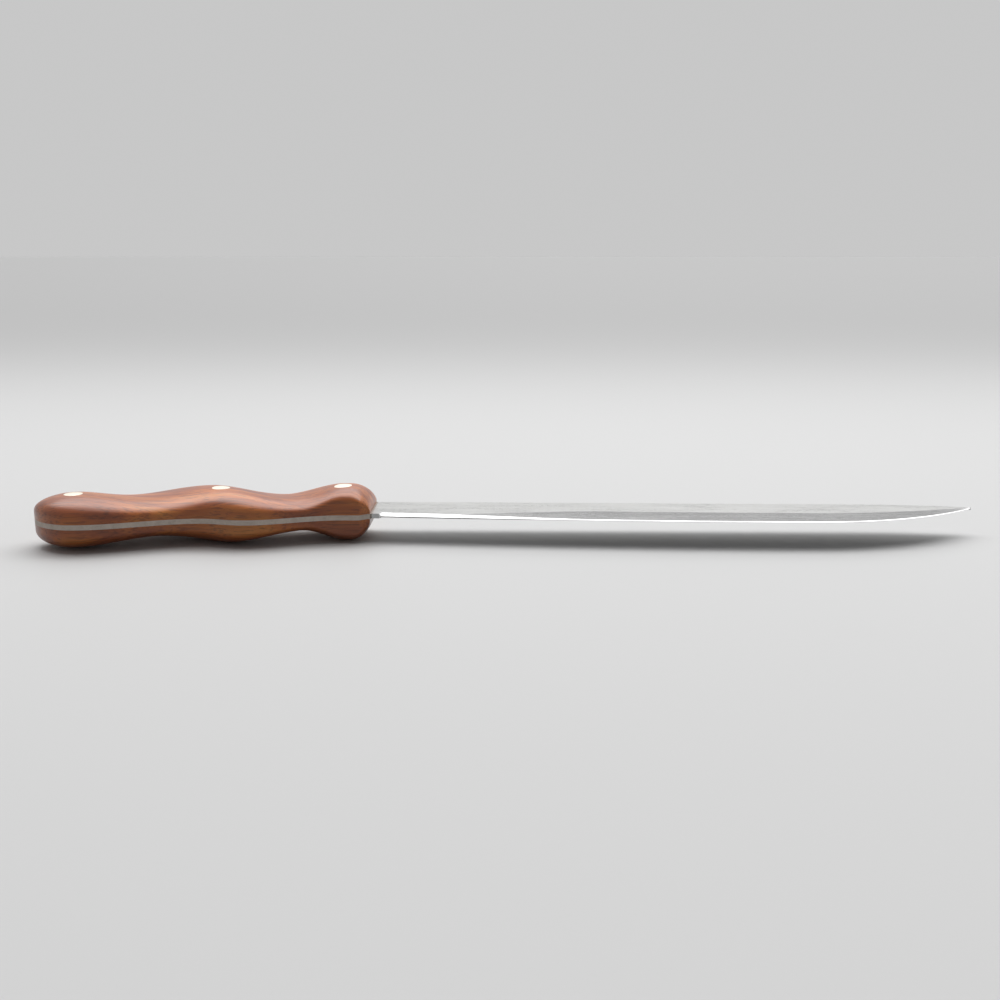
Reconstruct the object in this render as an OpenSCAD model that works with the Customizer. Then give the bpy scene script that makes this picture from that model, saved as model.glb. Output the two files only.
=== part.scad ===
// Full tang carving knife with two contoured wood scales and three two part rivets.
// The knife lies on its side, as it would be put down: +X is towards the tip,
// -Y towards the cutting edge, and +Z up through the upper scale.
// Depths are measured from the line of the straight spine towards the cutting edge,
// and places along the knife from the butt, in millimetres.

/* [Blade] */
// Length of the blade from the front of the handle to the tip
blade_len = 215; // [170:1:260]
// Width of the blade at the heel
heel_width = 18.6; // [14:0.2:21]
// Width of the blade at its widest place
belly_width = 26.2; // [22:0.2:34]
// Distance of the widest place from the tip
belly_from_tip = 64; // [45:1:90]
// How far the tip lies below the straight spine
tip_drop = 4.2; // [1:0.2:9]
// Length of spine that curves down to the tip
tip_curve_len = 40; // [20:1:60]
// Thickness of the blade at the handle
heel_thickness = 1.7; // [1.2:0.05:1.75]
// Thickness of the blade at the tip
tip_thickness = 0.9; // [0.5:0.05:1.15]

/* [Grind] */
// Width of the thinned band beside the cutting edge, at the widest place
grind_width = 11; // [5:0.5:15]
// Distance from the handle at which the thinned band starts
grind_start = 22; // [12:1:35]
// Distance over which the thinned band grows to its full width
grind_run = 58; // [30:1:80]
// Thickness just behind the sharpened edge
edge_thickness = 0.45; // [0.2:0.05:0.6]
// Angle between the sharpened edge and the middle plane
edge_angle = 25; // [14:1:30]
// Length of edge at the heel that is left square
heel_square = 3; // [2:0.5:8]

/* [Tang] */
// Thickness of the tang
tang_thickness = 1.8; // [1.8:0.1:3]
// Length of tang that shows in front of the wood
tang_front = 0.6; // [0.4:0.1:1.5]

/* [Handle outline] */
// Length of the wood scales
handle_len = 115; // [108:1:140]
// Depth of the belly side at the butt
butt_belly = 37.6; // [33:0.2:42]
// Place of that depth along the handle
butt_belly_at = 17; // [16:1:26]
// Depth of the belly side at the finger hollow
hollow_belly = 27.4; // [24:0.2:28.8]
// Place of the finger hollow
hollow_belly_at = 58; // [50:1:64]
// Depth of the belly side at the middle swell
swell_belly = 29.8; // [29:0.2:34]
// Place of the middle swell
swell_belly_at = 72.5; // [69:1:78]
// Depth of the belly side behind the front of the handle
neck_belly = 21.8; // [20:0.2:25]
// Distance of that depth from the front of the handle
neck_belly_from_front = 10; // [7:1:16]
// Depth of the belly side at the front of the handle
front_belly = 19.4; // [18:0.2:19.8]
// Depth of the back of the handle at the butt
butt_back = 11.4; // [6:0.2:17]
// Place of that depth along the handle
butt_back_at = 14; // [12:1:18]
// Place where the back meets the line of the spine
palm_back_at = 44; // [34:1:48]
// Depth of the shallow waist in the back
waist_back = 1.4; // [0:0.2:4]
// Place of the waist in the back
waist_back_at = 72; // [60:1:84]
// Length over which the butt rounds off in outline
butt_round = 16; // [12:1:20]

/* [Handle thickness] */
// Height of the butt crest above the middle plane
butt_crest = 8.9; // [7.5:0.1:11]
// Place of the butt crest
butt_crest_at = 14; // [10:1:20]
// Height at the thin palm
palm_crest = 6.5; // [5:0.1:7.4]
// Place of the thin palm
palm_crest_at = 36.5; // [30:1:42]
// Height of the middle crest
middle_crest = 9.2; // [7.5:0.1:11]
// Place of the middle crest
middle_crest_at = 61.5; // [55:1:66]
// Height at the thin neck
neck_crest = 5.5; // [5:0.1:7]
// Distance of the thin neck from the front of the handle
neck_crest_from_front = 28; // [22:1:32]
// Height of the front crest
front_crest = 9.3; // [7.5:0.1:11]
// Distance of the front crest from the front of the handle
front_crest_from_front = 10; // [8:1:14]
// Length over which the butt rounds off in height
butt_crown_round = 13; // [8:1:18]
// Length over which the front rounds off in height
front_round = 8; // [4:0.5:10]
// Height of the upright side wall at the butt
butt_wall = 2.3; // [1:0.1:3.4]
// Height of the side wall at the palm and at the neck
waist_wall = 1.5; // [0.6:0.1:2.4]
// Height of the side wall at the middle crest
middle_wall = 2.5; // [1:0.1:3.4]
// Height of the side wall at the front crest
front_wall = 5; // [1.5:0.1:5.6]
// How far the crests and hollows slant across the handle, per unit of half width
slant = 0.45; // [0:0.05:0.5]

/* [Rivets] */
// Diameter of the rivet heads
rivet_head_d = 6.35; // [5:0.05:8]
// Thickness of the rivet heads
rivet_head_t = 2.2; // [1.6:0.1:2.6]
// Outer diameter of the rivet sleeve
sleeve_d = 4.2; // [3.6:0.1:4.6]
// Diameter of the rivet pin's shank
pin_d = 2.6; // [2:0.1:2.9]
// Distance of the butt rivet from the butt
butt_rivet_at = 13.5; // [11:0.5:18]
// Distance of the middle rivet from the butt
middle_rivet_at = 62; // [56:0.5:70]
// Distance of the front rivet from the front of the handle
front_rivet_from_front = 10.4; // [9:0.1:14]

/* [Fit] */
// Gap all round between a rivet head or sleeve and its hole
hole_gap = 0.03; // [0.02:0.01:0.1]
// Gap all round between the rivet pin and its sleeve
pin_gap = 0.02; // [0.01:0.01:0.05]
// Space left at the closed ends inside a rivet
end_gap = 0.4; // [0.2:0.1:0.8]

/* [Hidden] */

steel = [0.72, 0.72, 0.73];
wood = [0.45, 0.22, 0.12];
nickel_silver = [0.88, 0.84, 0.74];
round_fn = 48;

// Rings of the wood scales along the handle, and points across each of them
butt_rings = 10;
grip_rings = 38;
front_rings = 8;
cross_steps = 18;
crown_power = 2.25;
butt_power = 1.7;
// Small lead that keeps the rounded ends from closing to a point
blunt = 0.16;
// Length of the rounded corner at the front of the outline
front_corner_len = 4;

half_tang = tang_thickness / 2;
total_len = handle_len + blade_len;
// Length lost where the point of the blade is not quite sharp
tip_point = 0.3;
neck_belly_at = handle_len - neck_belly_from_front;
neck_crest_at = handle_len - neck_crest_from_front;
front_crest_at = handle_len - front_crest_from_front;
front_rivet_at = handle_len - front_rivet_from_front;

// Smooth step from 0 to 1
function ease(u) = let (c = min(max(u, 0), 1)) c * c * (3 - 2 * c);

// Value at x of a curve that runs level through each of its keys [place, value]
function wave(keys, x) =
    let (
        last = len(keys) - 1,
        below = [for (i = [0 : last]) if (keys[i][0] <= x) i],
        i = len(below) == 0 ? 0 : min(below[len(below) - 1], last - 1),
        a = keys[i],
        b = keys[i + 1]
    )
    a[1] + (b[1] - a[1]) * ease((x - a[0]) / (b[0] - a[0]));

// Round end that grows from a small value at 0 to 1 at the given length
function round_end(x, length, power) =
    let (left = 1 - min((max(x, 0) + blunt) / (length + blunt), 1))
    pow(1 - pow(left, power), 1 / power);

belly_keys = [
    [butt_belly_at, butt_belly],
    [hollow_belly_at, hollow_belly],
    [swell_belly_at, swell_belly],
    [neck_belly_at, neck_belly],
    [handle_len - front_corner_len, neck_belly],
    [handle_len, front_belly]
];
back_keys = [
    [butt_back_at, butt_back],
    [palm_back_at, 0],
    [waist_back_at, waist_back],
    [front_crest_at, 0],
    [handle_len, 0]
];
crest_keys = [
    [butt_crest_at, butt_crest],
    [palm_crest_at, palm_crest],
    [middle_crest_at, middle_crest],
    [neck_crest_at, neck_crest],
    [front_crest_at, front_crest],
    [handle_len, front_crest]
];
wall_keys = [
    [butt_crest_at, butt_wall],
    [palm_crest_at, waist_wall],
    [middle_crest_at, middle_wall],
    [neck_crest_at, waist_wall],
    [front_crest_at, front_wall],
    [handle_len, front_wall]
];
slant_keys = [
    [0, 0],
    [palm_crest_at, slant],
    [neck_crest_at, slant],
    [handle_len, 0]
];

// Outline of the handle, as depths from the spine line
butt_middle = (butt_belly + butt_back) / 2;
function butt_end(x) = round_end(x, butt_round, butt_power);
function belly_depth(x) = butt_middle + (wave(belly_keys, x) - butt_middle) * butt_end(x);
function back_depth(x) = butt_middle + (wave(back_keys, x) - butt_middle) * butt_end(x);
function middle_depth(x) = (belly_depth(x) + back_depth(x)) / 2;
function half_width(x) = (belly_depth(x) - back_depth(x)) / 2;

// Height of the wood above the tang: its side wall, and its whole rise at the crest
function front_end(x) = round_end(handle_len - x, front_round, 2);
function wall_rise(x) = wave(wall_keys, x) * front_end(x);
function crown_rise(x) =
    (wave(crest_keys, x) - half_tang - wave(wall_keys, x))
    * round_end(x, butt_crown_round, 2) * front_end(x);
function crest_height(x) = half_tang + wall_rise(x) + crown_rise(x);

// Places of the rings: close together where the ends round off
stations = concat(
    [for (i = [0 : butt_rings - 1]) butt_round * (1 - cos(90 * i / butt_rings))],
    [for (i = [0 : grip_rings - 1])
        butt_round + (handle_len - front_round - butt_round) * i / grip_rings],
    [for (i = [0 : front_rings]) handle_len - front_round * (1 - sin(90 * i / front_rings))]
);

// Ends of a ring: each lies on the outline, and the two are slanted along the handle
function belly_end(x) =
    let (at = x + wave(slant_keys, x) * half_width(x))
    [at, belly_depth(at)];
function back_end(x) =
    let (at = x - wave(slant_keys, x) * half_width(x))
    [at, back_depth(at)];

// Where the knife stands: the middle of its own box, on the crest of the lower scale
outline_depths = concat([0], [for (x = stations) belly_end(x)[1]], [for (x = stations) back_end(x)[1]]);
spine_y = (max(outline_depths) + min(outline_depths)) / 2;
middle_z = max([for (x = stations) crest_height(x)]);
module stand() {
    translate([(tip_point - total_len) / 2, spine_y, middle_z])
        children();
}

// One ring of a scale, from the belly side over the crown to the back
function power_of(value, power) = sign(value) * pow(abs(value), power);
function ring(x) =
    let (
        belly = belly_end(x),
        back = back_end(x),
        middle = (belly + back) / 2,
        half = (belly - back) / 2,
        wall = half_tang + wall_rise(x),
        crown = crown_rise(x)
    )
    concat(
        [[belly[0], -belly[1], half_tang]],
        [for (i = [0 : cross_steps])
            let (
                turn = 180 * i / cross_steps,
                across = power_of(cos(turn), 2 / crown_power),
                up = power_of(sin(turn), 2 / crown_power),
                at = middle + half * across
            )
            [at[0], -at[1], wall + crown * up]
        ],
        [[back[0], -back[1], half_tang]]
    );

// Solid skin through rings of equal length, with flat ends
module loft(rings) {
    n = len(rings[0]);
    last = len(rings) - 1;
    sides = [
        for (r = [0 : last - 1])
            for (i = [0 : n - 1])
                let (
                    a = r * n + i,
                    b = r * n + (i + 1) % n,
                    c = a + n,
                    d = b + n
                )
                each [[a, b, c], [b, d, c]]
    ];
    start = [for (i = [n - 1 : -1 : 0]) i];
    end = [for (i = [0 : n - 1]) last * n + i];
    polyhedron(points = [for (r = rings) each r], faces = concat([start, end], sides));
}

scale_rings = [for (x = stations) ring(x)];

// The wood between two places, with the same facets as the whole scale
module wood_between(from, to) {
    before = [for (i = [0 : len(stations) - 1]) if (stations[i] < from) i];
    after = [for (i = [0 : len(stations) - 1]) if (stations[i] > to) i];
    first = len(before) == 0 ? 0 : before[len(before) - 1];
    final = len(after) == 0 ? len(stations) - 1 : after[0];
    loft([for (i = [first : final]) scale_rings[i]]);
}

// Places of the three rivets
rivet_places = [butt_rivet_at, middle_rivet_at, front_rivet_at];
function head_seat(x) = crest_height(x) - rivet_head_t;
module at_rivet(x) {
    translate([x, -middle_depth(x), 0])
        children();
}

// Holes for one rivet: a through hole for the sleeve, and a seat for each head
module rivet_holes(x) {
    reach = 2 * middle_z;
    at_rivet(x) {
        translate([0, 0, -reach / 2])
            cylinder(h = reach, d = sleeve_d + 2 * hole_gap, $fn = round_fn);
        translate([0, 0, head_seat(x)])
            cylinder(h = reach, d = rivet_head_d + 2 * hole_gap, $fn = round_fn);
    }
}

module wood_scale() {
    difference() {
        loft(scale_rings);
        for (x = rivet_places)
            rivet_holes(x);
    }
}

module upper_scale() {
    color(wood) stand() wood_scale();
}

module lower_scale() {
    color(wood) stand() mirror([0, 0, 1]) wood_scale();
}

// Rivet head: its outer face follows the wood
module rivet_head(x) {
    margin = rivet_head_d + slant * rivet_head_d;
    intersection() {
        wood_between(x - margin, x + margin);
        at_rivet(x)
            translate([0, 0, head_seat(x)])
                cylinder(h = middle_z, d = rivet_head_d, $fn = round_fn);
    }
}

// Headed tube, driven in from above
module rivet_sleeve(x) {
    bore_d = pin_d + 2 * pin_gap;
    seat = head_seat(x);
    color(nickel_silver) stand()
        union() {
            rivet_head(x);
            at_rivet(x)
                difference() {
                    translate([0, 0, end_gap - seat])
                        cylinder(h = 2 * seat - end_gap, d = sleeve_d, $fn = round_fn);
                    translate([0, 0, -2 * seat])
                        cylinder(h = 3 * seat - end_gap, d = bore_d, $fn = round_fn);
                }
        }
}

// Headed pin, driven into the tube from below
module rivet_pin(x) {
    seat = head_seat(x);
    color(nickel_silver) stand()
        union() {
            mirror([0, 0, 1]) rivet_head(x);
            at_rivet(x)
                translate([0, 0, -seat])
                    cylinder(h = 2 * seat - 2 * end_gap, d = pin_d, $fn = round_fn);
        }
}

// Blade outline, as depths from the spine line
belly_at = total_len - belly_from_tip;
edge_power = 2.3;
function spine_depth(x) =
    tip_drop * pow(max((x - total_len + tip_curve_len) / tip_curve_len, 0), 2);
function edge_depth(x) =
    x < belly_at
        ? heel_width + (belly_width - heel_width) * sin(90 * (x - handle_len) / (belly_at - handle_len))
        : tip_drop + (belly_width - tip_drop) * (1 - pow((x - belly_at) / belly_from_tip, edge_power));

// Thickness of the flats, and how far the thinned band has grown at a place
function flat_half(x) =
    (heel_thickness + (tip_thickness - heel_thickness) * (x - handle_len) / blade_len) / 2;
function grind_share(x) = ease((x - handle_len - grind_start) / grind_run);
function depth_width(x) = edge_depth(x) - spine_depth(x);

// Half thickness behind the sharpened edge, and the width of the sharpened edge
function shoulder_half(x) =
    flat_half(x) + (min(edge_thickness / 2, flat_half(x)) - flat_half(x)) * grind_share(x);
sharp_at = handle_len + heel_square;
sharp_lead = 1;
function sharp_share(x) = ease((x - sharp_at) / sharp_lead);
function bevel_width(x) =
    min(shoulder_half(x) / tan(edge_angle), depth_width(x) / 4) * sharp_share(x);
least_band = 0.3;
function band_width(x) =
    bevel_width(x) + (least_band + grind_width * grind_share(x)) * depth_width(x) / belly_width;
edge_flat = 0.02;

// One section of the blade, from the edge over the upper side to the spine and back below
function blade_ring(x) =
    let (
        rim = shoulder_half(x) + (edge_flat - shoulder_half(x)) * sharp_share(x),
        upper = [
            [x, -spine_depth(x), flat_half(x)],
            [x, band_width(x) - edge_depth(x), flat_half(x)],
            [x, bevel_width(x) - edge_depth(x), shoulder_half(x)],
            [x, -edge_depth(x), rim]
        ]
    )
    concat(
        [for (i = [3 : -1 : 0]) upper[i]],
        [for (p = upper) [x, p[1], -p[2]]]
    );

// Places of the blade's sections: close together at the heel and near the tip
blade_root = handle_len - 2;
body_sections = 24;
tip_sections = 20;
blade_stations = concat(
    [blade_root, handle_len, sharp_at],
    [for (i = [1 : 3]) sharp_at + sharp_lead * i / 3],
    [for (i = [1 : body_sections])
        sharp_at + sharp_lead + (belly_at - sharp_at - sharp_lead) * i / body_sections],
    [for (i = [1 : tip_sections]) belly_at + (belly_from_tip - tip_point) * sin(90 * i / tip_sections)]
);

// Tang outline, flush with the wood all round
tang_outline = concat(
    [for (x = stations) [belly_end(x)[0], -belly_end(x)[1]]],
    [[handle_len + tang_front, -heel_width], [handle_len + tang_front, 0]],
    [for (i = [len(stations) - 1 : -1 : 0]) let (p = back_end(stations[i])) [p[0], -p[1]]]
);

module blade() {
    color(steel) stand()
        difference() {
            union() {
                translate([0, 0, -half_tang])
                    linear_extrude(tang_thickness)
                        polygon(tang_outline);
                loft([for (x = blade_stations) blade_ring(x)]);
            }
            for (x = rivet_places)
                at_rivet(x)
                    translate([0, 0, -tang_thickness])
                        cylinder(h = 2 * tang_thickness, d = sleeve_d + 2 * hole_gap, $fn = round_fn);
        }
}

blade();
upper_scale();
lower_scale();
rivet_sleeve(butt_rivet_at);  // butt_rivet_sleeve
rivet_sleeve(middle_rivet_at);  // middle_rivet_sleeve
rivet_sleeve(front_rivet_at);  // front_rivet_sleeve
rivet_pin(butt_rivet_at);  // butt_rivet_pin
rivet_pin(middle_rivet_at);  // middle_rivet_pin
rivet_pin(front_rivet_at);  // front_rivet_pin
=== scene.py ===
# %% [markdown]
# A carving knife that lies on its side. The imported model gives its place, and the sizes
# below repeat the model's own, so that this script only dresses it: smooth wood scales, a
# ground steel blade with its full tang, and three rivets of two parts each. All work is in
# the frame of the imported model, in metres.

# %% Load the frame
import bmesh
import bpy
import math
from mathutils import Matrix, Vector
from mathutils.bvhtree import BVHTree


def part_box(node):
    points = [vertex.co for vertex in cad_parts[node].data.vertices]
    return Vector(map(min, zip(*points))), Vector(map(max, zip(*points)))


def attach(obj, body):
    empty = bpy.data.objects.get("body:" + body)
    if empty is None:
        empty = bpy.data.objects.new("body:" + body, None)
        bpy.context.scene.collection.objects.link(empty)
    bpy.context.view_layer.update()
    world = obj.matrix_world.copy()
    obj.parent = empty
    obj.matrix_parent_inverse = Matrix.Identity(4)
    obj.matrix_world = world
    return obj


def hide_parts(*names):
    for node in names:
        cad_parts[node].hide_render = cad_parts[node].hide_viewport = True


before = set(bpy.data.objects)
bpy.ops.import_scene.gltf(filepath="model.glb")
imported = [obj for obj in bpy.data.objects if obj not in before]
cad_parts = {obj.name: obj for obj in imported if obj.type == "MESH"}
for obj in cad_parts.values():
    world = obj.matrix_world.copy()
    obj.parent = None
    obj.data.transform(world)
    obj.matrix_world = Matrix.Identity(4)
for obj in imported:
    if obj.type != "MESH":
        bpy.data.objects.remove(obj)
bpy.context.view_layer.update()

MM = 0.001

# %% [markdown]
# The camera stands where the photographer stood: low, in front of the cutting edge, and
# looking down by about twelve degrees. Its place and its lens were fitted to the knife's
# outline in perspective, and are written as sizes and not as pixels.

# %% Camera
CAMERA_PLACE = Vector((0.0012, -0.3758, 0.0985))
CAMERA_LOOK = Vector((-0.0145, 0.9762, -0.2164))
CAMERA_LENS = 39.8
SENSOR_WIDTH = 36.0
camera_data = bpy.data.cameras.new("photo_camera")
camera_data.sensor_width = SENSOR_WIDTH
camera_data.lens = CAMERA_LENS
camera = bpy.data.objects.new("photo_camera", camera_data)
camera.location = CAMERA_PLACE
camera.rotation_euler = CAMERA_LOOK.to_track_quat("-Z", "Y").to_euler()
bpy.context.scene.collection.objects.link(camera)
bpy.context.scene.camera = camera
print("camera lens", camera_data.lens, "mm")

# %% [markdown]
# The handle is drawn by a few heights and depths at its crests and hollows. A curve that
# runs level through each of them gives the wavy shape of such a handle, so the same
# values and the same rule as in the solid model are used here, with finer steps. Each key
# holds a place along the handle, from the butt, and the size there.

# %% Sizes of the handle, in millimetres
HANDLE_LENGTH = 115.0
BLADE_LENGTH = 215.0
TOTAL_LENGTH = HANDLE_LENGTH + BLADE_LENGTH
HALF_TANG = 0.9
TANG_FRONT = 0.6
FRONT_CREST_AT = HANDLE_LENGTH - 10.0
BELLY_KEYS = [(17, 37.6), (58, 27.4), (72.5, 29.8), (105, 21.8), (111, 21.8), (115, 19.4)]
BACK_KEYS = [(14, 11.4), (44, 0.0), (72, 1.4), (FRONT_CREST_AT, 0.0), (HANDLE_LENGTH, 0.0)]
CREST_KEYS = [
    (14, 8.9), (36.5, 6.5), (61.5, 9.2), (87, 5.5),
    (FRONT_CREST_AT, 9.3), (HANDLE_LENGTH, 9.3),
]
WALL_KEYS = [
    (14, 2.3), (36.5, 1.5), (61.5, 2.5), (87, 1.5),
    (FRONT_CREST_AT, 5.0), (HANDLE_LENGTH, 5.0),
]
SLANT_KEYS = [(0, 0.0), (36.5, 0.45), (87, 0.45), (HANDLE_LENGTH, 0.0)]
BUTT_ROUND = 16.0
BUTT_CROWN_ROUND = 13.0
FRONT_ROUND = 8.0
CROWN_POWER = 2.25
BUTT_POWER = 1.7
BLUNT = 0.16


# %% The rules of the handle's shape
def ease(share):
    held = min(max(share, 0.0), 1.0)
    return held * held * (3 - 2 * held)


def wave(keys, x):
    below = [i for i in range(len(keys)) if keys[i][0] <= x]
    i = min(below[-1], len(keys) - 2) if below else 0
    (x0, y0), (x1, y1) = keys[i], keys[i + 1]
    return y0 + (y1 - y0) * ease((x - x0) / (x1 - x0))


def round_end(x, length, power):
    left = 1 - min((max(x, 0.0) + BLUNT) / (length + BLUNT), 1.0)
    return (1 - left ** power) ** (1 / power)


def outline_depth(keys, x):
    middle = (BELLY_KEYS[0][1] + BACK_KEYS[0][1]) / 2
    return middle + (wave(keys, x) - middle) * round_end(x, BUTT_ROUND, BUTT_POWER)


def ring_ends(x):
    half = (outline_depth(BELLY_KEYS, x) - outline_depth(BACK_KEYS, x)) / 2
    lean = wave(SLANT_KEYS, x) * half
    belly = Vector((x + lean, outline_depth(BELLY_KEYS, x + lean), 0))
    back = Vector((x - lean, outline_depth(BACK_KEYS, x - lean), 0))
    return belly, back


def front_end(x):
    return round_end(HANDLE_LENGTH - x, FRONT_ROUND, 2)


def wall_height(x):
    return HALF_TANG + wave(WALL_KEYS, x) * front_end(x)


def crown_height(x):
    full = wave(CREST_KEYS, x) - HALF_TANG - wave(WALL_KEYS, x)
    return full * round_end(x, BUTT_CROWN_ROUND, 2) * front_end(x)


# %% [markdown]
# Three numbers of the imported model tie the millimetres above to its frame: the middle
# plane of the tang, the line of the spine and the butt's end.

# %% Place in the frame
scale_low, scale_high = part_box("upper_scale")
MIDDLE_Z = (scale_low[2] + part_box("lower_scale")[1][2]) / 2
SPINE_Y = scale_high[1]
BUTT_X = scale_low[0]


def to_row(x, depth, height):
    return Vector((BUTT_X + x * MM, SPINE_Y - depth * MM, MIDDLE_Z + height * MM))


print("middle plane", MIDDLE_Z, "spine line", SPINE_Y, "butt", BUTT_X)

# %% [markdown]
# Every piece ends the same way: its mesh gets outward faces, smooth shading that keeps the
# sharp edges, its materials and a body to ride on, and the imported node that it stands for is
# hidden.

# %% Finishing a piece
SHARP_ANGLE = math.radians(32)
MERGE_DISTANCE = 0.0005 * MM


def finish_piece(bm, name, node, materials, sharp=SHARP_ANGLE, choose=None):
    bmesh.ops.remove_doubles(bm, verts=bm.verts, dist=MERGE_DISTANCE)
    bmesh.ops.recalc_face_normals(bm, faces=bm.faces)
    for face in bm.faces:
        face.smooth = True
    for edge in bm.edges:
        edge.smooth = len(edge.link_faces) < 2 or edge.calc_face_angle() < sharp
    mesh = bpy.data.meshes.new(name)
    bm.to_mesh(mesh)
    bm.free()
    for material in materials:
        mesh.materials.append(material)
    for polygon in mesh.polygons:
        polygon.material_index = choose(polygon.center) if choose else 0
    piece = bpy.data.objects.new(name, mesh)
    bpy.context.scene.collection.objects.link(piece)
    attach(piece, "root")
    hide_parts(node)
    print(name, "has", len(mesh.polygons), "faces")


# %% [markdown]
# Fine scratches and brushing are on all the bright metal here. One node group makes them:
# noise that is stretched along the knife, so that it reads as lines. The wood has a group
# of its own for the grain. Both read Object coordinates, so they stay on the piece.

# %% Node helpers
MIX_FACTOR, MIX_FIRST, MIX_SECOND, MIX_RESULT = 0, 6, 7, 2


def add_node(tree, kind, **values):
    node = tree.nodes.new(kind)
    for key, value in values.items():
        setattr(node, key, value)
    return node


def feed(tree, socket, value):
    if isinstance(value, (int, float)):
        socket.default_value = value
    elif isinstance(value, tuple):
        socket.default_value = (*value, 1.0)
    else:
        tree.links.new(value, socket)


def new_group(name, inputs, outputs):
    group = bpy.data.node_groups.new(name, "ShaderNodeTree")
    for title, kind, default in inputs:
        socket = group.interface.new_socket(title, in_out="INPUT", socket_type=kind)
        if default is not None:
            socket.default_value = default
    for title, kind in outputs:
        group.interface.new_socket(title, in_out="OUTPUT", socket_type=kind)
    return group, add_node(group, "NodeGroupInput"), add_node(group, "NodeGroupOutput")


def stretched_noise(tree, vector, stretch, scale, detail):
    mapping = add_node(tree, "ShaderNodeMapping")
    mapping.inputs["Scale"].default_value = stretch
    noise = add_node(tree, "ShaderNodeTexNoise")
    noise.inputs["Scale"].default_value = scale
    noise.inputs["Detail"].default_value = detail
    tree.links.new(vector, mapping.inputs["Vector"])
    tree.links.new(mapping.outputs["Vector"], noise.inputs["Vector"])
    return noise.outputs["Fac"]


def ramp(tree, value, stops):
    node = add_node(tree, "ShaderNodeValToRGB")
    elements = node.color_ramp.elements
    while len(elements) < len(stops):
        elements.new(0.5)
    for element, (place, colour) in zip(elements, stops):
        element.position = place
        element.color = (*colour, 1.0)
    tree.links.new(value, node.inputs["Fac"])
    return node.outputs["Color"]


def math_node(tree, operation, first, second):
    node = add_node(tree, "ShaderNodeMath", operation=operation)
    feed(tree, node.inputs[0], first)
    feed(tree, node.inputs[1], second)
    return node.outputs["Value"]


def mix_colour(tree, factor, first, second, blend="MIX"):
    node = add_node(tree, "ShaderNodeMix", data_type="RGBA", blend_type=blend)
    feed(tree, node.inputs[MIX_FACTOR], factor)
    feed(tree, node.inputs[MIX_FIRST], first)
    feed(tree, node.inputs[MIX_SECOND], second)
    return node.outputs[MIX_RESULT]


# %% [markdown]
# The brushing is fine lines, broad soft patches and a few longer scratches. The first two
# set how rough the metal is, and the scratches set how dark it is.

# %% Brushed metal lines
LEAST_ROUGHNESS = 0.06
PATCH_ROUGHNESS = 0.18
SCRATCH_TONE = 0.35
LEAST_TONE = 0.72
brush_group, brush_in, brush_out = new_group(
    "brushed_lines",
    [("Vector", "NodeSocketVector", None), ("Strength", "NodeSocketFloat", 0.3)],
    [
        ("Roughness", "NodeSocketFloat"),
        ("Height", "NodeSocketFloat"),
        ("Tone", "NodeSocketFloat"),
    ],
)
brush_place = brush_in.outputs["Vector"]
fine = stretched_noise(brush_group, brush_place, (12.0, 260.0, 60.0), scale=30.0, detail=6.0)
broad = stretched_noise(brush_group, brush_place, (1.0, 5.0, 5.0), scale=40.0, detail=4.0)
scratch = stretched_noise(brush_group, brush_place, (3.0, 90.0, 20.0), scale=18.0, detail=2.0)
lines = math_node(brush_group, "MULTIPLY", fine, brush_in.outputs["Strength"])
patch = math_node(brush_group, "MULTIPLY", broad, PATCH_ROUGHNESS)
both = math_node(brush_group, "ADD", lines, patch)
rough = math_node(brush_group, "ADD", both, LEAST_ROUGHNESS)
scratched = math_node(brush_group, "MULTIPLY", scratch, SCRATCH_TONE)
tone = math_node(brush_group, "ADD", scratched, LEAST_TONE)
brush_group.links.new(rough, brush_out.inputs["Roughness"])
brush_group.links.new(fine, brush_out.inputs["Height"])
brush_group.links.new(tone, brush_out.inputs["Tone"])

# %% [markdown]
# The grain is broad bands of colour, dark pores as short flecks, and clouds that make
# some places a little lighter or redder than others.

# %% Wood grain
BAND_COLOURS = [
    (0.25, (0.19, 0.040, 0.010)),
    (0.45, (0.40, 0.098, 0.020)),
    (0.58, (0.60, 0.175, 0.032)),
    (0.75, (0.76, 0.290, 0.055)),
]
PORE_TONES = [(0.36, (0.45, 0.45, 0.45)), (0.5, (1.0, 1.0, 1.0))]
CLOUD_TONES = [(0.3, (0.72, 0.66, 0.62)), (0.7, (1.12, 1.06, 1.0))]
PORE_SHARE = 0.7
CLOUD_SHARE = 0.8
grain_group, grain_in, grain_out = new_group(
    "wood_grain",
    [("Vector", "NodeSocketVector", None)],
    [("Colour", "NodeSocketColor"), ("Height", "NodeSocketFloat")],
)
grain_place = grain_in.outputs["Vector"]
bands = stretched_noise(grain_group, grain_place, (7.0, 70.0, 60.0), scale=2.2, detail=5.0)
flecks = stretched_noise(grain_group, grain_place, (22.0, 420.0, 420.0), scale=3.5, detail=3.0)
clouds = stretched_noise(grain_group, grain_place, (20.0, 45.0, 45.0), scale=1.3, detail=3.0)
base = ramp(grain_group, bands, BAND_COLOURS)
pores = ramp(grain_group, flecks, PORE_TONES)
patches = ramp(grain_group, clouds, CLOUD_TONES)
with_pores = mix_colour(grain_group, PORE_SHARE, base, pores, "MULTIPLY")
grain_colour = mix_colour(grain_group, CLOUD_SHARE, with_pores, patches, "MULTIPLY")
grain_group.links.new(grain_colour, grain_out.inputs["Colour"])
grain_group.links.new(flecks, grain_out.inputs["Height"])

# %% [markdown]
# The metals share one recipe and differ in colour, in how strong the brushing is and in
# how deep its bump is. The thinned band's darker colour is a painted darker reflection, and
# the sharpened edge's lighter colour is a painted highlight. The wood has a clear seal coat
# over it.

# %% Materials
BRUSH_DEPTH = 0.01 * MM
PORE_DEPTH = 0.05 * MM
PORE_BUMP = 0.18
WOOD_FINISH = {
    "Roughness": 0.42,
    "Specular IOR Level": 0.35,
    "Coat Weight": 0.6,
    "Coat Roughness": 0.22,
}


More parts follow.
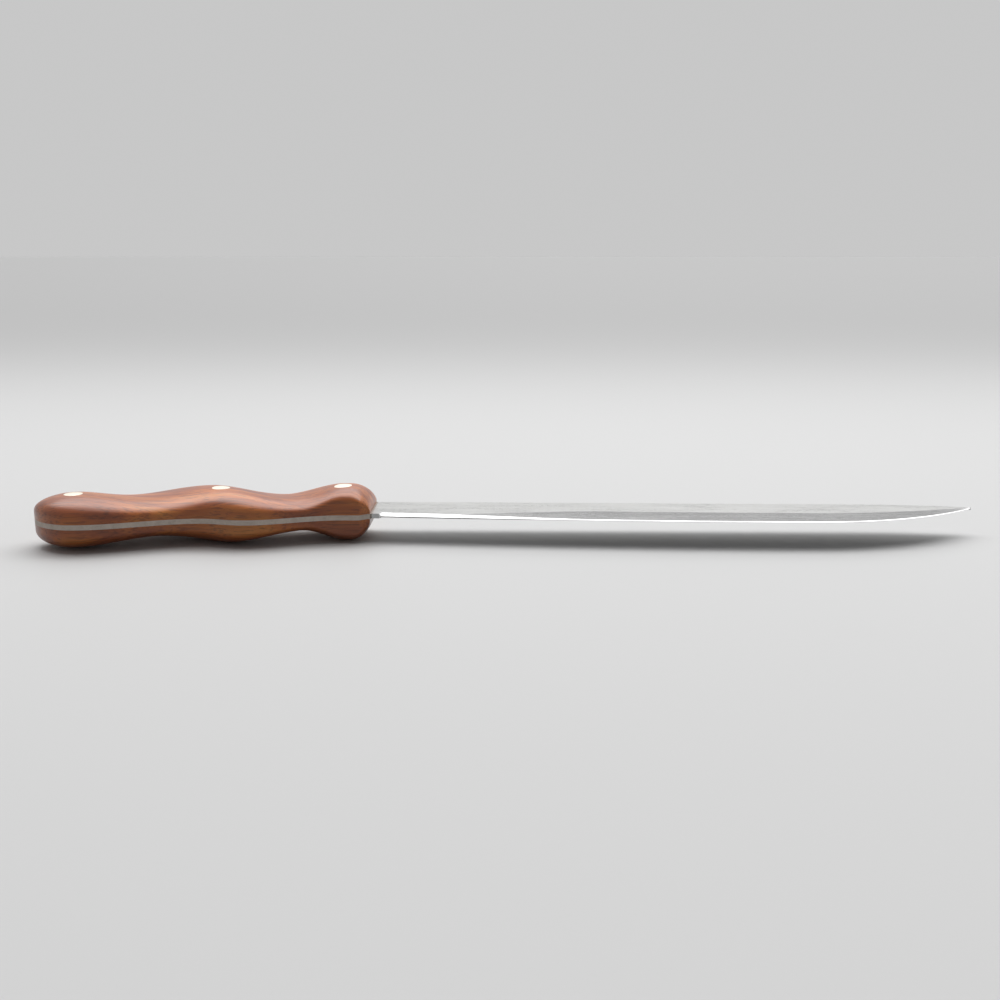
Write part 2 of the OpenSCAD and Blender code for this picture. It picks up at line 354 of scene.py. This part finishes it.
def new_material(name):
    material = bpy.data.materials.new(name)
    material.use_nodes = True
    tree = material.node_tree
    return material, tree, tree.nodes["Principled BSDF"]


def place_group(tree, group, **values):
    node = add_node(tree, "ShaderNodeGroup", node_tree=group)
    place = add_node(tree, "ShaderNodeTexCoord").outputs["Object"]
    tree.links.new(place, node.inputs["Vector"])
    for key, value in values.items():
        node.inputs[key].default_value = value
    return node


def add_bump(tree, shader, height, strength, distance):
    bump = add_node(tree, "ShaderNodeBump")
    bump.inputs["Strength"].default_value = strength
    bump.inputs["Distance"].default_value = distance
    tree.links.new(height, bump.inputs["Height"])
    tree.links.new(bump.outputs["Normal"], shader.inputs["Normal"])


def metal(name, colour, brushing, bump):
    material, tree, shader = new_material(name)
    brushed = place_group(tree, brush_group, Strength=brushing)
    shader.inputs["Metallic"].default_value = 1.0
    toned = mix_colour(tree, 1.0, colour, brushed.outputs["Tone"], "MULTIPLY")
    tree.links.new(toned, shader.inputs["Base Color"])
    tree.links.new(brushed.outputs["Roughness"], shader.inputs["Roughness"])
    add_bump(tree, shader, brushed.outputs["Height"], bump, BRUSH_DEPTH)
    return material


def sealed_wood(name):
    material, tree, shader = new_material(name)
    grain = place_group(tree, grain_group)
    tree.links.new(grain.outputs["Colour"], shader.inputs["Base Color"])
    for socket, value in WOOD_FINISH.items():
        shader.inputs[socket].default_value = value
    add_bump(tree, shader, grain.outputs["Height"], PORE_BUMP, PORE_DEPTH)
    return material


steel = metal("satin_steel", (0.62, 0.62, 0.61), brushing=0.34, bump=0.25)
# Darker tone of the thinned band: a painted darker reflection on the same steel.
ground_steel_painted_reflection = metal("ground_steel_painted_reflection", (0.40, 0.40, 0.40), brushing=0.22, bump=0.2)
# Lighter tone of the sharpened edge: a painted highlight along the edge.
sharpened_steel_painted_highlight = metal("sharpened_steel_painted_highlight", (0.70, 0.70, 0.70), brushing=0.4, bump=0.1)
tang_steel = metal("tarnished_tang", (0.38, 0.33, 0.29), brushing=0.7, bump=0.4)
nickel_silver = metal("nickel_silver", (1.0, 0.93, 0.80), brushing=0.5, bump=0.2)
wood = sealed_wood("sealed_wood")

# %% [markdown]
# A scale starts as a flat grid. Each of its points is carried to its place on the crowned
# surface: one direction of the grid runs along the handle and the other across it. The rim
# is then drawn down to the tang and closed with a flat face, as the real scale is flat there.

# %% Wood scales
ALONG = 300
ACROSS = 48


def station(share):
    crowded = HANDLE_LENGTH * (1 - math.cos(share * math.pi)) / 2
    return (crowded + HANDLE_LENGTH * share) / 2 if 0 < share < 1 else crowded


def power_of(value, power):
    return math.copysign(abs(value) ** power, value)


def scale_point(x, turn):
    belly, back = ring_ends(x)
    across = power_of(math.cos(turn), 2 / CROWN_POWER)
    up = power_of(math.sin(turn), 2 / CROWN_POWER)
    flat = (belly + back) / 2 + (belly - back) / 2 * across
    return flat.x, flat.y, wall_height(x) + crown_height(x) * up


def make_scale(side):
    bm = bmesh.new()
    bmesh.ops.create_grid(bm, x_segments=ALONG, y_segments=ACROSS, size=1.0)
    for vert in bm.verts:
        x = station((vert.co.x + 1) / 2)
        px, depth, height = scale_point(x, (vert.co.y + 1) / 2 * math.pi)
        vert.co = to_row(px, depth, side * height)
    rim = [edge for edge in bm.edges if edge.is_boundary]
    wall = bmesh.ops.extrude_edge_only(bm, edges=rim)["geom"]
    for vert in [item for item in wall if isinstance(item, bmesh.types.BMVert)]:
        vert.co.z = MIDDLE_Z + side * HALF_TANG * MM
    tang_rim = [edge for edge in bm.edges if edge.is_boundary]
    bmesh.ops.contextual_create(bm, geom=tang_rim)
    return bm


upper_bm = make_scale(1)
lower_bm = make_scale(-1)
surfaces = {1: BVHTree.FromBMesh(upper_bm), -1: BVHTree.FromBMesh(lower_bm)}
finish_piece(upper_bm, "upper_wood_scale", "upper_scale", [wood])
finish_piece(lower_bm, "lower_wood_scale", "lower_scale", [wood])

# %% [markdown]
# A rivet is turned, so its profile is spun round its axis. The outer face of its head was
# ground together with the wood, so each point of that face is dropped onto the wood's own
# surface, and stands proud by a hair.

# %% Rivets
HEAD_RADIUS = 3.175
HEAD_THICKNESS = 2.2
HEAD_BEVEL = 0.06
HEAD_RINGS = 8
HEAD_FACE_DEPTH = 0.1
SLEEVE_RADIUS = 2.1
PIN_RADIUS = 1.3
BORE_RADIUS = 1.32
END_GAP = 0.4
PROUD = 0.02
RIVETS = {"butt": 13.5, "middle": 62.0, "front": HANDLE_LENGTH - 10.4}
SPIN_STEPS = 64
SPIN_MERGE = 0.001 * MM
DROP_FROM = 30


def rivet_profile(crest, hollow):
    seat = crest - HEAD_THICKNESS
    profile = [(HEAD_RADIUS * ring / HEAD_RINGS, crest) for ring in range(HEAD_RINGS)]
    profile += [(HEAD_RADIUS - HEAD_BEVEL, crest), (HEAD_RADIUS, crest - HEAD_BEVEL)]
    profile += [(HEAD_RADIUS, seat)]
    if hollow:
        profile += [(SLEEVE_RADIUS, seat), (SLEEVE_RADIUS, END_GAP - seat)]
        profile += [(BORE_RADIUS, END_GAP - seat), (BORE_RADIUS, seat - END_GAP)]
        return profile + [(0.0, seat - END_GAP)]
    pin_end = 2 * END_GAP - seat
    return profile + [(PIN_RADIUS, seat), (PIN_RADIUS, pin_end), (0.0, pin_end)]


def make_rivet(x, side, hollow):
    crest = wall_height(x) + crown_height(x)
    depth = (outline_depth(BELLY_KEYS, x) + outline_depth(BACK_KEYS, x)) / 2
    bm = bmesh.new()
    verts = []
    for radius, height in rivet_profile(crest, hollow):
        on_axis = to_row(x, depth, side * height)
        verts.append(bm.verts.new(on_axis + Vector((radius * MM, 0, 0))))
    edges = [bm.edges.new(pair) for pair in zip(verts[:-1], verts[1:])]
    bmesh.ops.spin(
        bm, geom=verts + edges, cent=to_row(x, depth, 0), axis=(0, 0, 1), angle=2 * math.pi,
        steps=SPIN_STEPS, use_merge=True,
    )
    bmesh.ops.remove_doubles(bm, verts=bm.verts, dist=SPIN_MERGE)
    for vert in bm.verts:
        height = side * (vert.co.z - MIDDLE_Z) / MM
        if height < crest - HEAD_FACE_DEPTH:
            continue
        above = Vector((vert.co.x, vert.co.y, MIDDLE_Z + side * DROP_FROM * MM))
        hit = surfaces[side].ray_cast(above, Vector((0, 0, -side)))[0]
        vert.co.z = hit.z + side * (PROUD + height - crest) * MM
    return bm


for title, rivet_x in RIVETS.items():
    for side, half, node in ((1, "headed_tube", "sleeve"), (-1, "headed_pin", "pin")):
        finish_piece(
            make_rivet(rivet_x, side, side == 1), f"{title}_rivet_{half}",
            f"{title}_rivet_{node}", [nickel_silver],
        )

# %% [markdown]
# The blade is also carried from a grid: along it run its sections, and across it lie the
# spine, the flat, the thinned band and the sharpened edge, on both sides. The tang is the
# handle's outline, cut from the same plate.

# %% Sizes of the blade, in millimetres, and its sections
TIP_POINT = 0.3
HEEL_WIDTH = 18.6
BELLY_WIDTH = 26.2
BELLY_FROM_TIP = 64.0
BELLY_AT = TOTAL_LENGTH - BELLY_FROM_TIP
TIP_DROP = 4.2
TIP_CURVE_LENGTH = 40.0
HEEL_THICKNESS = 1.7
TIP_THICKNESS = 0.9
GRIND_WIDTH = 11.0
GRIND_START = 22.0
GRIND_RUN = 58.0
EDGE_THICKNESS = 0.45
EDGE_ANGLE = math.radians(25)
EDGE_FLAT = 0.02
EDGE_POWER = 2.3
WIDEST_BEVEL = 0.25
SHARP_AT = HANDLE_LENGTH + 3.0
SHARP_LEAD = 1.0
LEAST_BAND = 0.3


def spine_depth(x):
    into_curve = max((x - TOTAL_LENGTH + TIP_CURVE_LENGTH) / TIP_CURVE_LENGTH, 0)
    return TIP_DROP * into_curve ** 2


def edge_depth(x):
    if x < BELLY_AT:
        share = (x - HANDLE_LENGTH) / (BELLY_AT - HANDLE_LENGTH)
        return HEEL_WIDTH + (BELLY_WIDTH - HEEL_WIDTH) * math.sin(math.pi / 2 * share)
    share = (x - BELLY_AT) / BELLY_FROM_TIP
    return TIP_DROP + (BELLY_WIDTH - TIP_DROP) * (1 - share ** EDGE_POWER)


def blade_section(x):
    width = edge_depth(x) - spine_depth(x)
    run = (x - HANDLE_LENGTH) / BLADE_LENGTH
    flat = (HEEL_THICKNESS + (TIP_THICKNESS - HEEL_THICKNESS) * run) / 2
    ground = ease((x - HANDLE_LENGTH - GRIND_START) / GRIND_RUN)
    sharp = ease((x - SHARP_AT) / SHARP_LEAD)
    shoulder = flat + (min(EDGE_THICKNESS / 2, flat) - flat) * ground
    bevel = min(shoulder / math.tan(EDGE_ANGLE), width * WIDEST_BEVEL) * sharp
    band = bevel + (LEAST_BAND + GRIND_WIDTH * ground) * width / BELLY_WIDTH
    rim = shoulder + (EDGE_FLAT - shoulder) * sharp
    edge = edge_depth(x)
    return [(edge, rim), (edge - bevel, shoulder), (edge - band, flat), (spine_depth(x), flat)]


# %% [markdown]
# The rows of the grid go from the edge over the upper side to the spine and back below,
# and its last row lies on its first. The sections stand closer together towards the tip.
# The blade starts inside the handle, so that it and the tang read as one plate.

# %% Blade and tang
BLADE_STEPS = 420
BLADE_ROWS = 8
TIP_CROWDING = 1.25
ROOT_OVERLAP = 2
TANG_STEPS = 300
BLADE_SHARP_ANGLE = math.radians(3)
FINISH_SLACK = 0.02
SATIN, GROUND_PAINTED_REFLECTION, SHARPENED_PAINTED_HIGHLIGHT, TANG = range(4)

root_x = HANDLE_LENGTH - ROOT_OVERLAP
blade_bm = bmesh.new()
bmesh.ops.create_grid(blade_bm, x_segments=BLADE_STEPS, y_segments=BLADE_ROWS, size=1.0)
for vert in blade_bm.verts:
    share = (vert.co.x + 1) / 2
    row = round((vert.co.y + 1) / 2 * BLADE_ROWS) % BLADE_ROWS
    upper = row < BLADE_ROWS // 2
    eased = 1 - (1 - share) ** TIP_CROWDING
    x = root_x + (TOTAL_LENGTH - TIP_POINT - root_x) * eased
    depth, half = blade_section(x)[row if upper else BLADE_ROWS - 1 - row]
    vert.co = to_row(x, depth, half if upper else -half)
bmesh.ops.remove_doubles(blade_bm, verts=blade_bm.verts, dist=MERGE_DISTANCE)
bmesh.ops.holes_fill(blade_bm, edges=[edge for edge in blade_bm.edges if edge.is_boundary])

rings = [ring_ends(station(i / TANG_STEPS)) for i in range(TANG_STEPS + 1)]
outline = [belly for belly, back in rings]
outline += [Vector((HANDLE_LENGTH + TANG_FRONT, depth, 0)) for depth in (HEEL_WIDTH, 0)]
outline += [back for belly, back in reversed(rings)]
corners = [blade_bm.verts.new(to_row(point.x, point.y, HALF_TANG)) for point in outline]
plate = blade_bm.faces.new(corners)
raised = bmesh.ops.extrude_face_region(blade_bm, geom=[plate])["geom"]
lowered = [item for item in raised if isinstance(item, bmesh.types.BMVert)]
bmesh.ops.translate(blade_bm, verts=lowered, vec=(0, 0, -2 * HALF_TANG * MM))


# Chooses each face's metal: the thinned band gets the painted darker reflection, the sharpened
# edge the painted highlight.
def blade_finish(centre):
    x = (centre.x - BUTT_X) / MM
    depth = (SPINE_Y - centre.y) / MM
    if x < HANDLE_LENGTH + TANG_FRONT:
        return TANG
    (edge, _), (bevel_top, _), (band_top, _), _ = blade_section(x)
    if depth > (edge + bevel_top) / 2 - FINISH_SLACK and x > SHARP_AT:
        return SHARPENED_PAINTED_HIGHLIGHT
    return GROUND_PAINTED_REFLECTION if depth > band_top else SATIN


blade_metals = [steel, ground_steel_painted_reflection, sharpened_steel_painted_highlight, tang_steel]
finish_piece(
    blade_bm, "blade_with_tang", "blade", blade_metals,
    BLADE_SHARP_ANGLE, blade_finish,
)

# %% [markdown]
# The floor is a plain pale sheet that reaches to the horizon, and the world behind it has
# nearly the same tone. The camera and the reflections see both pale, but the light that
# they throw onto the knife is weaker, so that its sides stay darker than its top.

# %% Floor
FLOOR_SIZE = 60.0
FLOOR_ROUGHNESS = 0.6
PALE_FLOOR = (0.62, 0.62, 0.62)
BOUNCING_FLOOR = (0.12, 0.115, 0.11)


def seen_directly(tree):
    path = add_node(tree, "ShaderNodeLightPath").outputs
    seen = math_node(tree, "MAXIMUM", path["Is Camera Ray"], path["Is Glossy Ray"])
    return math_node(tree, "MAXIMUM", seen, path["Is Transmission Ray"])


floor_material, floor_tree, floor_shader = new_material("pale_floor")
floor_colour = mix_colour(floor_tree, seen_directly(floor_tree), BOUNCING_FLOOR, PALE_FLOOR)
floor_tree.links.new(floor_colour, floor_shader.inputs["Base Color"])
floor_shader.inputs["Roughness"].default_value = FLOOR_ROUGHNESS
floor_bm = bmesh.new()
bmesh.ops.create_grid(floor_bm, x_segments=2, y_segments=2, size=FLOOR_SIZE)
floor_mesh = bpy.data.meshes.new("floor")
floor_bm.to_mesh(floor_mesh)
floor_bm.free()
floor_mesh.materials.append(floor_material)
floor = bpy.data.objects.new("floor", floor_mesh)
bpy.context.scene.collection.objects.link(floor)

# %% [markdown]
# A long lamp hangs above and behind the knife, and a broad soft sun comes from the same
# side. Nothing shines from the front.

# %% Lamp, sun and world
LAMP_PLACE = Vector((0.0, 0.27, 0.60))
LAMP_SIZE = (1.6, 0.35)
LAMP_WATTS = 3.2
SUN_FROM = Vector((0.1, 0.5, 1.0))
SUN_STRENGTH = 1.9
SUN_WIDTH = math.radians(80)
WORLD_LIGHT = (0.18, 0.18, 0.18)
WORLD_SEEN = (0.575, 0.575, 0.575)


def add_light(name, kind, came_from, energy):
    data = bpy.data.lights.new(name, kind)
    data.energy = energy
    light = bpy.data.objects.new(name, data)
    light.rotation_euler = (-came_from).to_track_quat("-Z", "Y").to_euler()
    bpy.context.scene.collection.objects.link(light)
    return light


lamp = add_light("top_lamp", "AREA", LAMP_PLACE, LAMP_WATTS)
lamp.location = LAMP_PLACE
lamp.data.shape = "RECTANGLE"
lamp.data.size, lamp.data.size_y = LAMP_SIZE
sun = add_light("soft_sun", "SUN", SUN_FROM, SUN_STRENGTH)
sun.data.angle = SUN_WIDTH

world = bpy.data.worlds.new("pale_world")
bpy.context.scene.world = world
world.use_nodes = True
sky_tree = world.node_tree
backdrop = sky_tree.nodes["Background"]
sky = mix_colour(sky_tree, seen_directly(sky_tree), WORLD_LIGHT, WORLD_SEEN)
sky_tree.links.new(sky, backdrop.inputs["Color"])
backdrop.inputs["Strength"].default_value = 1.0
bpy.context.scene.view_settings.view_transform = "Standard"
